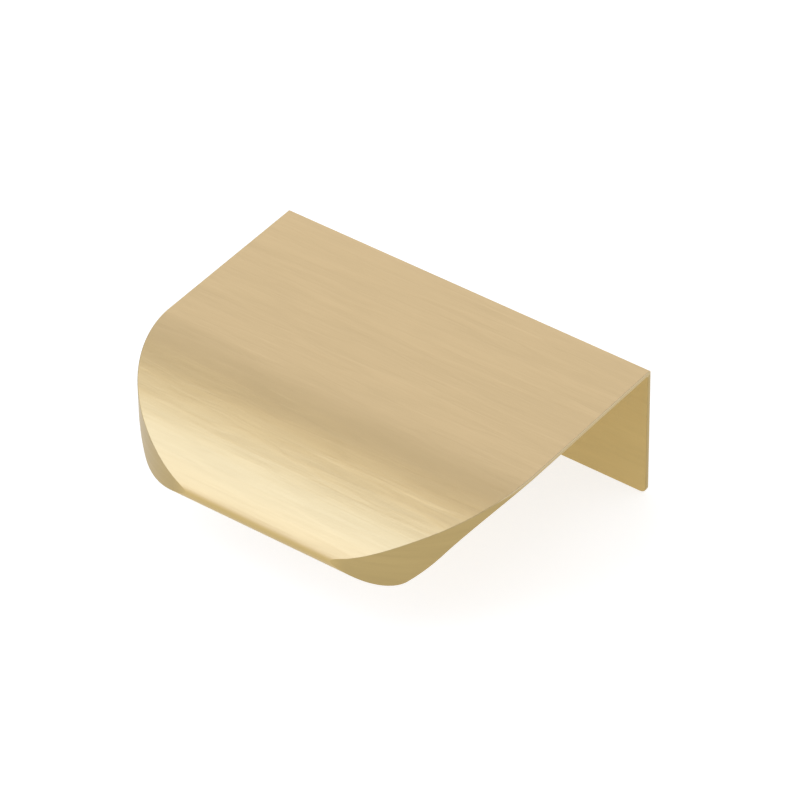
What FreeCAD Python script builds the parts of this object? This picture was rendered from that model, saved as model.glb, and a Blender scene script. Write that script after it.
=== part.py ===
import FreeCAD, Part
import math
import os

# Tab pull: a thin plate that lies over the top edge of a drawer front, with a screwed
# flange folded down behind it and a solid curved lip in front of it, all one piece.
# Millimetres. +X along the length, -Y towards the hand, +Z up. The origin is the middle
# of the screw holes, on the flange face that bears on the drawer front.

# Plate and flange
length = 50.0
wall = 0.5
flat_run = 21.85
flange_height = 17.45
fold_outer_radius = 0.2
fold_inner_radius = 0.25
flange_corner_radius = 0.8

# Screw holes in the flange
hole_spacing = 32.0
hole_radius = 2.0
hole_drop = 8.5

# Lip section: two falling arcs on top, a round bead at the nose, a hollow underneath
crown_radius = 27.2
crown_turn = 26.0
fall_radius = 10.45
fall_turn = 35.3
bead_radius = 1.8
grip_slope = 52.0
grip_radius = 13.3

# Rounded front corners, seen from above
corner_radius = 16.95
corner_lead = 0.1

# Rounding of every sharp edge, apart from the rims of the screw holes
edge_break = 0.08

# Room that a cutter needs beyond the metal
overrun = 2.0


def place(forward, drop, x=0.0):
    """Point at a distance forward of the flange face and below the plate's top."""
    return FreeCAD.Vector(x, -forward, hole_drop - drop)


def on_arc(centre, radius, turn):
    """Point on an arc about centre, where turn is the slope reached, from level."""
    angle = math.radians(turn)
    return centre[0] + radius * math.sin(angle), centre[1] - radius * math.cos(angle)


def centre_below(start, radius, turn):
    """Centre of the arc of this radius that leaves start at this slope."""
    angle = math.radians(turn)
    return start[0] - radius * math.sin(angle), start[1] + radius * math.cos(angle)


def lip_arcs():
    """Centre, radius, first and last slope of each arc from the plate round the bead."""
    arcs = []
    start = (flat_run, 0.0)
    slope = 0.0
    turns = (
        (crown_radius, crown_turn),
        (fall_radius, fall_turn),
        (bead_radius, 180.0 + grip_slope - crown_turn - fall_turn),
    )
    for radius, turn in turns:
        centre = centre_below(start, radius, slope)
        arcs.append((centre, radius, slope, slope + turn))
        slope = slope + turn
        start = on_arc(centre, radius, slope)
    return arcs


def arc_edge(centre, radius, first, last, x):
    ends = [on_arc(centre, radius, turn) for turn in (first, (first + last) / 2, last)]
    return Part.Arc(*[place(*end, x) for end in ends]).toShape()


def line_edge(start, end, x):
    return Part.LineSegment(place(*start, x), place(*end, x)).toShape()


def grip_start():
    """Forward place where the hollow underside of the lip leaves the plate.

    The underside is an arc tangent to the plate and then a straight run, which is
    tangent to the bead.
    """
    centre, radius, _, last = lip_arcs()[-1]
    bead_end = on_arc(centre, radius, last)
    slope = math.radians(grip_slope)
    arc_drop = wall + grip_radius * (1.0 - math.cos(slope))
    run = (bead_end[1] - arc_drop) / math.tan(slope)
    return bead_end[0] - run - grip_radius * math.sin(slope)


def section(x):
    """Closed outline of the pull at one end, in a plane square to its length."""
    bead_centre, _, _, bead_last = lip_arcs()[-1]
    bead_end = on_arc(bead_centre, bead_radius, bead_last)
    grip_centre = (grip_start(), wall + grip_radius)
    grip_end = on_arc(grip_centre, grip_radius, grip_slope)
    outer_fold = (fold_outer_radius - wall, fold_outer_radius)
    inner_fold = (fold_inner_radius, wall + fold_inner_radius)
    edges = [
        line_edge((-wall, flange_height), (-wall, fold_outer_radius), x),
        arc_edge(outer_fold, fold_outer_radius, -90.0, 0.0, x),
        line_edge((outer_fold[0], 0.0), (flat_run, 0.0), x),
    ]
    edges += [arc_edge(*arc, x) for arc in lip_arcs()]
    edges += [
        line_edge(bead_end, grip_end, x),
        arc_edge(grip_centre, grip_radius, grip_slope, 0.0, x),
        line_edge((grip_start(), wall), (fold_inner_radius, wall), x),
        arc_edge(inner_fold, fold_inner_radius, 0.0, -90.0, x),
        line_edge((0.0, wall + fold_inner_radius), (0.0, flange_height), x),
        line_edge((0.0, flange_height), (-wall, flange_height), x),
    ]
    return Part.Wire(edges)


def lip_reach():
    """Distance from the flange face to the tip of the nose."""
    centre, radius, _, _ = lip_arcs()[-1]
    return centre[0] + radius


def corner_cutter(side):
    """What a front corner loses, for side 1 or -1: the space outside its plan arc."""
    front = -(lip_reach() + corner_lead)
    outer = side * length / 2
    inner = outer - side * corner_radius
    back = front + corner_radius
    diagonal = corner_radius * math.sqrt(0.5)
    beyond = outer + side * overrun
    floor = hole_drop - flange_height - overrun
    start = FreeCAD.Vector(outer, back, floor)
    middle = FreeCAD.Vector(inner + side * diagonal, back - diagonal, floor)
    end = FreeCAD.Vector(inner, front, floor)
    around = [
        end,
        FreeCAD.Vector(inner, front - overrun, floor),
        FreeCAD.Vector(beyond, front - overrun, floor),
        FreeCAD.Vector(beyond, back, floor),
        start,
    ]
    edges = [Part.Arc(start, middle, end).toShape()]
    edges += [Part.LineSegment(a, b).toShape() for a, b in zip(around, around[1:])]
    height = flange_height + 2 * overrun
    return Part.Face(Part.Wire(edges)).extrude(FreeCAD.Vector(0, 0, height))


def hole_cutter(side):
    start = FreeCAD.Vector(side * hole_spacing / 2, -overrun, 0)
    return Part.makeCylinder(hole_radius, wall + 2 * overrun, start, FreeCAD.Vector(0, 1, 0))


def flange_corner_edges(solid):
    """The two short edges through the flange wall at its bottom corners."""
    bottom = hole_drop - flange_height
    found = []
    for edge in solid.Edges:
        box = edge.BoundBox
        at_bottom = abs(box.ZMax - bottom) < 1e-4 and abs(box.ZMin - bottom) < 1e-4
        at_end = box.XLength < 1e-4 and abs(abs(box.XMin) - length / 2) < 1e-4
        if at_bottom and at_end:
            found.append(edge)
    return found


def outward(face, point):
    return face.normalAt(*face.Surface.parameter(point))


def sharp_edges(solid):
    """Edges whose two faces turn away from each other instead of running on smoothly."""
    found = []
    for edge in solid.Edges:
        faces = solid.ancestorsOfType(edge, Part.Face)
        middle = edge.valueAt((edge.FirstParameter + edge.LastParameter) / 2)
        if len(faces) == 2 and outward(faces[0], middle).dot(outward(faces[1], middle)) < 0.99:
            found.append(edge)
    return found


def tab_pull():
    blank = Part.Face(section(-length / 2)).extrude(FreeCAD.Vector(length, 0, 0))
    shaped = blank.cut([corner_cutter(1), corner_cutter(-1)]).Solids[0]
    rounded = shaped.makeFillet(flange_corner_radius, flange_corner_edges(shaped)).Solids[0]
    softened = rounded.makeFillet(edge_break, sharp_edges(rounded)).Solids[0]
    return softened.cut([hole_cutter(1), hole_cutter(-1)]).Solids[0]


os.makedirs("parts", exist_ok=True)
tab_pull().exportStep("parts/tab_pull.step")
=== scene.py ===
import math

import bpy
from mathutils import Matrix, Vector


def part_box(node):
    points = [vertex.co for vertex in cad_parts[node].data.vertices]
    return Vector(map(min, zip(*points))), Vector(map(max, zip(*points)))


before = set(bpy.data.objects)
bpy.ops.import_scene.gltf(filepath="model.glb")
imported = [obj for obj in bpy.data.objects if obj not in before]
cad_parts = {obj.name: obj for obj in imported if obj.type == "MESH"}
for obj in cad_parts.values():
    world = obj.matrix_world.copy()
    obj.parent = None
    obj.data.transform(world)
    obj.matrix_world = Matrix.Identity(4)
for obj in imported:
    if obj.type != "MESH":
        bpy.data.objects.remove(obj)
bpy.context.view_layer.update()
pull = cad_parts["tab_pull"]
pull_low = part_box("tab_pull")[0]

# Camera: how it is turned, in degrees, and how far it stands from the start of the lip
CAMERA_TURN = 36.83
CAMERA_FALL = 39.29
CAMERA_LEAN = -0.70
CAMERA_DISTANCE = 0.6547
CAMERA_FOCAL_PX = 5960.9
FRAME_PX = 800
SENSOR_MM = 36.0
NEAREST_SEEN = 0.01
FARTHEST_SEEN = 20.0
LIP_START = Vector((0.0, -0.02185, 0.0085))
LIP_START_PX = (347.84, 390.75)

# Sky: nearly white at the horizon, and darker towards the top by a power of the height
HORIZON_LEVEL = 1.05
TOP_LEVEL = 0.18
SKY_FADE = 0.8

# Floor: a pale grey square, with a glow that makes it white where it is seen
FLOOR_SIZE = 6.0
FLOOR_COLOUR = (0.50, 0.50, 0.50)
FLOOR_ROUGHNESS = 0.9
FLOOR_LIFT = 0.73

# Lamps: name, direction from the pull, distance, width and height, watts, colour.
# The key lights the lip, left and above the start of the lip's curve, and back the plate.
# Overhead is for the views from the front and from above
LAMPS = (
    ("key", (-0.55, -0.64, 0.60), 1.2, (0.85, 1.76), 4.93, (0.864, 1.076, 1.45)),
    ("left", (-0.58, -0.12, 0.81), 1.2, (0.65, 0.60), 0.63, (1.0, 1.0, 0.866)),
    ("above", (-0.40, 0.10, 0.90), 1.2, (0.45, 0.25), 0.18, (1.12, 0.93, 0.57)),
    ("overhead", (0.17, -0.05, 0.98), 1.2, (1.1, 0.6), 1.60, (1.0, 1.0, 1.0)),
    ("back", (-0.475, 0.65, 0.595), 0.5, (0.24, 0.335), 0.143, (0.989, 0.984, 1.09)),
)

# Brass: the outer face; painted shade, darker and warmer, on the inside faces and the cut ends; and
# a paler brass on the rims, partly wear and partly painted highlight
BRASS = (0.665, 0.505, 0.279)
BRASS_INSIDE_PAINTED_SHADE = (0.555, 0.410, 0.170)
BRASS_END_PAINTED_SHADE = (0.442, 0.328, 0.142)
BRASS_WORN_AND_HIGHLIGHT = (0.78, 0.64, 0.41)
BRASS_ROUGHNESS = 0.36
ROUGHNESS_SWING = 0.04
BRASS_ANISOTROPY = 0.6

# Where each face begins and ends, by how far its normal turns towards an axis
END_TURN = (0.04, 0.25)
OUTSIDE_TURN = (0.0, 0.4)
LIP_TURN = (-0.03, -0.25)

# Wear and painted highlight: a paler brass on the rims of the ends, by how far a rim's normal
# leans, and on the plate's thin ends, which reach up from its underside
RIM_LEAN = (0.05, 0.45)
RIM_WEAR_AND_HIGHLIGHT = 0.5
PLATE_END_WEAR_AND_HIGHLIGHT = 0.25
PLATE_UNDERSIDE = 0.0080
WEAR_AND_HIGHLIGHT_BLEND = 0.0002

# Grain: how many cells of the fine lines and of the wider streaks fit in a metre, by axis
FINE_ALONG = (110.0, 5200.0, 5200.0)
STREAKS_ALONG = (135.0, 1050.0, 1050.0)
FINE_ENDS = (160.0, 160.0, 5200.0)
STREAKS_ENDS = (120.0, 120.0, 1600.0)
NOISE_ROUGHNESS = 0.55
BROAD_SHARE = 3.0

# Depth of the grain in micrometres, and how much the streaks darken or lighten the brass
MICROMETRE = 1.0e-6
FINE_DEPTH = 3.0
STREAK_DEPTH_ALONG = 27.0
STREAK_DEPTH_ENDS = 8.0
STREAK_REACH = (0.35, 0.65)
FINE_REACH = (0.3, 0.7)
FLAT_STREAKS = 0.02
LIP_STREAKS = 0.035

# Sockets of a Mix node by its type: first value, second value, result
MIX_SOCKETS = {"FLOAT": (2, 3, 0), "VECTOR": (4, 5, 1), "RGBA": (6, 7, 2)}


def make_camera():
    """Camera whose picture has the start of the lip's curve at its measured place."""
    turn = Matrix.Rotation(math.radians(CAMERA_TURN), 4, "Z")
    fall = Matrix.Rotation(math.radians(90.0 - CAMERA_FALL), 4, "X")
    lean = Matrix.Rotation(math.radians(CAMERA_LEAN), 4, "Z")
    turned = turn @ fall @ lean
    metres_a_pixel = CAMERA_DISTANCE / CAMERA_FOCAL_PX
    right = (LIP_START_PX[0] - FRAME_PX / 2) * metres_a_pixel
    down = (LIP_START_PX[1] - FRAME_PX / 2) * metres_a_pixel
    place = LIP_START + turned @ Vector((-right, down, CAMERA_DISTANCE))
    data = bpy.data.cameras.new("camera")
    data.sensor_width = SENSOR_MM
    data.lens = CAMERA_FOCAL_PX * SENSOR_MM / FRAME_PX
    data.clip_start = NEAREST_SEEN
    data.clip_end = FARTHEST_SEEN
    camera = bpy.data.objects.new("camera", data)
    camera.matrix_world = Matrix.Translation(place) @ turned
    bpy.context.scene.collection.objects.link(camera)
    bpy.context.scene.camera = camera


def softbox(name, direction, distance, size, watts, colour):
    """Rectangular lamp of this width and height that faces the pull from a direction."""
    data = bpy.data.lights.new(name, "AREA")
    data.shape = "RECTANGLE"
    data.size, data.size_y = size
    data.energy = watts
    data.color = colour
    lamp = bpy.data.objects.new(name, data)
    lamp.visible_camera = False
    away = Vector(direction).normalized()
    turned = away.to_track_quat("Z", "Y").to_matrix().to_4x4()
    lamp.matrix_world = Matrix.Translation(away * distance) @ turned
    bpy.context.scene.collection.objects.link(lamp)


def add_node(tree, kind, values, **options):
    """One shader node: options are its own settings, values its sockets by name or number."""
    node = tree.nodes.new(kind)
    for option, value in options.items():
        setattr(node, option, value)
    for name, value in values.items():
        if isinstance(value, bpy.types.NodeSocket):
            tree.links.new(value, node.inputs[name])
        else:
            node.inputs[name].default_value = value
    return node


def worked_out(tree, operation, *values):
    """Result of one Math node, given its values in order."""
    return add_node(tree, "ShaderNodeMath", dict(enumerate(values)), operation=operation).outputs[0]


def remapped(tree, value, reach, result=(0.0, 1.0), interpolation="LINEAR"):
    """Value moved from its own reach to the result's, and held within it."""
    values = {"Value": value, "From Min": reach[0], "From Max": reach[1],
              "To Min": result[0], "To Max": result[1]}
    return add_node(tree, "ShaderNodeMapRange", values,
                    interpolation_type=interpolation).outputs[0]


def mixed(tree, kind, share, first, second):
    """First value where the share is 0, second where it is 1, and a blend between."""
    first_socket, second_socket, result = MIX_SOCKETS[kind]
    values = {0: share, first_socket: first, second_socket: second}
    return add_node(tree, "ShaderNodeMix", values, data_type=kind).outputs[result]


def make_sky():
    """World whose level is the top's plus a share that falls as (1 - height) to a power."""
    world = bpy.data.worlds.new("studio")
    bpy.context.scene.world = world
    world.use_nodes = True
    tree = world.node_tree
    direction = tree.nodes.new("ShaderNodeTexCoord").outputs["Generated"]
    parts = add_node(tree, "ShaderNodeSeparateXYZ", {"Vector": direction})
    height = worked_out(tree, "MAXIMUM", parts.outputs["Z"], 0.0)
    lowness = worked_out(tree, "SUBTRACT", 1.0, height)
    faded = worked_out(tree, "POWER", lowness, SKY_FADE)
    level = worked_out(tree, "MULTIPLY_ADD", faded, HORIZON_LEVEL - TOP_LEVEL, TOP_LEVEL)
    background = tree.nodes["Background"]
    background.inputs["Color"].default_value = (1.0, 1.0, 1.0, 1.0)
    tree.links.new(level, background.inputs["Strength"])


def floor_material():
    """Pale grey that keeps its shadows, lifted to white for the camera and in reflections."""
    material = bpy.data.materials.new("pale floor")
    material.use_nodes = True
    tree = material.node_tree
    shader = tree.nodes["Principled BSDF"]
    shader.inputs["Base Color"].default_value = (*FLOOR_COLOUR, 1.0)
    shader.inputs["Roughness"].default_value = FLOOR_ROUGHNESS
    shader.inputs["Specular IOR Level"].default_value = 0.0
    shader.inputs["Emission Color"].default_value = (1.0, 1.0, 1.0, 1.0)
    path = tree.nodes.new("ShaderNodeLightPath").outputs
    seen = worked_out(tree, "MAXIMUM", path["Is Camera Ray"], path["Is Glossy Ray"])
    seen = worked_out(tree, "MAXIMUM", seen, path["Is Transmission Ray"])
    lift = worked_out(tree, "MULTIPLY", seen, FLOOR_LIFT)
    tree.links.new(lift, shader.inputs["Emission Strength"])
    return material


def make_floor():
    """Level square under the pull's lowest point."""
    half = FLOOR_SIZE / 2
    around = ((-half, -half), (half, -half), (half, half), (-half, half))
    mesh = bpy.data.meshes.new("floor")
    mesh.from_pydata([(x, y, pull_low.z) for x, y in around], [], [(0, 1, 2, 3)])
    mesh.materials.append(floor_material())
    floor = bpy.data.objects.new("floor", mesh)
    bpy.context.scene.collection.objects.link(floor)


def grain_group():
    """Brushed grain: fine lines, streaks and broad bands, each a noise stretched by its cells.

    Height is the fine noise times its depth, plus the streaks and the broad bands, which
    count for more, times theirs. Streaks is the mean of the two wider noises.
    """
    group = bpy.data.node_groups.new("brushed_grain", "ShaderNodeTree")
    for name in ("Position", "Fine Cells", "Streak Cells"):
        group.interface.new_socket(name, in_out="INPUT", socket_type="NodeSocketVector")
    for name in ("Fine Depth", "Streak Depth"):
        group.interface.new_socket(name, in_out="INPUT", socket_type="NodeSocketFloat")
    for name in ("Height", "Streaks", "Fine"):
        group.interface.new_socket(name, in_out="OUTPUT", socket_type="NodeSocketFloat")
    given = group.nodes.new("NodeGroupInput").outputs

    def stretched_noise(cells, scale, detail, distortion):
        placed = add_node(group, "ShaderNodeVectorMath",
                          {0: given["Position"], 1: given[cells]}, operation="MULTIPLY")
        values = {"Vector": placed.outputs[0], "Scale": scale, "Detail": detail,
                  "Roughness": NOISE_ROUGHNESS, "Distortion": distortion}
        return add_node(group, "ShaderNodeTexNoise", values).outputs[0]

    fine = stretched_noise("Fine Cells", scale=1.0, detail=2.0, distortion=0.0)
    middle = stretched_noise("Streak Cells", scale=1.0, detail=2.0, distortion=0.6)
    broad = stretched_noise("Streak Cells", scale=0.3, detail=1.0, distortion=0.3)
    both = worked_out(group, "ADD", middle, broad)
    streaks = worked_out(group, "MULTIPLY", both, 0.5)
    wide_height = worked_out(group, "MULTIPLY_ADD", broad, BROAD_SHARE, middle)
    wide_height = worked_out(group, "MULTIPLY", wide_height, given["Streak Depth"])
    height = worked_out(group, "MULTIPLY_ADD", fine, given["Fine Depth"], wide_height)
    add_node(group, "NodeGroupOutput", {"Height": height, "Streaks": streaks, "Fine": fine})
    return group


def brushed(tree, grain, position, is_end):
    """Height, streaks and fine lines of the grain: along the pull, and level on its ends."""
    along = add_node(tree, "ShaderNodeGroup",
                     {"Position": position,
                      "Fine Cells": FINE_ALONG, "Streak Cells": STREAKS_ALONG,
                      "Fine Depth": FINE_DEPTH, "Streak Depth": STREAK_DEPTH_ALONG},
                     node_tree=grain).outputs
    level = add_node(tree, "ShaderNodeGroup",
                     {"Position": position,
                      "Fine Cells": FINE_ENDS, "Streak Cells": STREAKS_ENDS,
                      "Fine Depth": FINE_DEPTH, "Streak Depth": STREAK_DEPTH_ENDS},
                     node_tree=grain).outputs
    return [mixed(tree, "FLOAT", is_end, along[name], level[name])
            for name in ("Height", "Streaks", "Fine")]


def brass_colour(tree, facing, is_end, streaks):
    """Colour of the face that it is on, with painted shade on the inside faces and the cut ends,
    made a little lighter and darker by the streaks.
    """
    outward = worked_out(tree, "MAXIMUM", facing["Y"], facing["Z"])
    is_outside_unshaded = remapped(tree, outward, OUTSIDE_TURN, interpolation="SMOOTHSTEP")
    # Painted shade: faces that look down or to the front, under the plate and on the flange's
    # front, get a darker, warmer brass
    face = mixed(tree, "RGBA", is_outside_unshaded, (*BRASS_INSIDE_PAINTED_SHADE, 1.0), (*BRASS, 1.0))
    # Painted shade: the cut ends get a still darker brass
    face = mixed(tree, "RGBA", is_end, face, (*BRASS_END_PAINTED_SHADE, 1.0))
    streak = remapped(tree, streaks, STREAK_REACH, (-1.0, 1.0))
    swing = remapped(tree, facing["Y"], LIP_TURN, (FLAT_STREAKS, LIP_STREAKS))
    tone = worked_out(tree, "MULTIPLY_ADD", streak, swing, 1.0)
    return add_node(tree, "ShaderNodeVectorMath", {0: face, 1: tone},
                    operation="MULTIPLY").outputs[0]


def wear_and_painted_highlight_mask(tree, facing, height, endways, is_end):
    """Share of paler brass, partly wear and partly painted highlight: on the rims of the ends,
    twice that on the plate's, and on the plate's thin ends themselves."""
    upright = worked_out(tree, "ABSOLUTE", facing["Z"])
    rim_lean = worked_out(tree, "MULTIPLY", endways, upright)
    rim = remapped(tree, rim_lean, RIM_LEAN, (0.0, RIM_WEAR_AND_HIGHLIGHT))
    plate_start = (PLATE_UNDERSIDE - WEAR_AND_HIGHLIGHT_BLEND, PLATE_UNDERSIDE + WEAR_AND_HIGHLIGHT_BLEND)
    on_plate = remapped(tree, height, plate_start, interpolation="SMOOTHSTEP")
    plate_end = worked_out(tree, "MULTIPLY", on_plate, is_end)
    rim = worked_out(tree, "MULTIPLY_ADD", rim, plate_end, rim)
    return worked_out(tree, "MULTIPLY_ADD", plate_end, PLATE_END_WEAR_AND_HIGHLIGHT, rim)


def brass_material(grain):
    """Satin brass brushed along its length, with its cut ends brushed level, and painted shade
    darkening its cut ends and inside faces.
    """
    material = bpy.data.materials.new("brushed brass")
    material.use_nodes = True
    tree = material.node_tree
    shader = tree.nodes["Principled BSDF"].inputs
    where = tree.nodes.new("ShaderNodeTexCoord").outputs
    facing = add_node(tree, "ShaderNodeSeparateXYZ", {"Vector": where["Normal"]}).outputs
    place = add_node(tree, "ShaderNodeSeparateXYZ", {"Vector": where["Object"]}).outputs
    endways = worked_out(tree, "ABSOLUTE", facing["X"])
    is_end = remapped(tree, endways, END_TURN, interpolation="SMOOTHSTEP")
    height, streaks, fine = brushed(tree, grain, where["Object"], is_end)

    # Colour: the face's own, with painted shade on the inside faces and the cut ends, and paler on
    # the rims, partly where hands rub and partly painted highlight
    colour = brass_colour(tree, facing, is_end, streaks)
    worn_and_highlit = wear_and_painted_highlight_mask(tree, facing, place["Z"], endways, is_end)
    # Painted highlight, partly wear: the rims and the plate's thin ends get a paler brass
    colour = mixed(tree, "RGBA", worn_and_highlit, colour, (*BRASS_WORN_AND_HIGHLIGHT, 1.0))
    tree.links.new(colour, shader["Base Color"])

    # The fine lines change the roughness, and all the grain makes the bump
    roughness_reach = (BRASS_ROUGHNESS - ROUGHNESS_SWING, BRASS_ROUGHNESS + ROUGHNESS_SWING)
    tree.links.new(remapped(tree, fine, FINE_REACH, roughness_reach), shader["Roughness"])
    bump = add_node(tree, "ShaderNodeBump",
                    {"Height": height, "Strength": 1.0, "Distance": MICROMETRE})
    tree.links.new(bump.outputs["Normal"], shader["Normal"])

    # The highlight spreads across the grain
    across = add_node(tree, "ShaderNodeVectorMath", {0: where["Normal"], 1: (1.0, 0.0, 0.0)},
                      operation="CROSS_PRODUCT").outputs[0]
    tangent = mixed(tree, "VECTOR", is_end, across, (0.0, 0.0, 1.0))
    tree.links.new(tangent, shader["Tangent"])
    shader["Metallic"].default_value = 1.0
    shader["Anisotropic"].default_value = BRASS_ANISOTROPY
    return material


make_camera()
make_sky()
make_floor()
for lamp_facts in LAMPS:
    softbox(*lamp_facts)
pull.material_slots[0].material = brass_material(grain_group())
bpy.context.scene.view_settings.view_transform = "Standard"
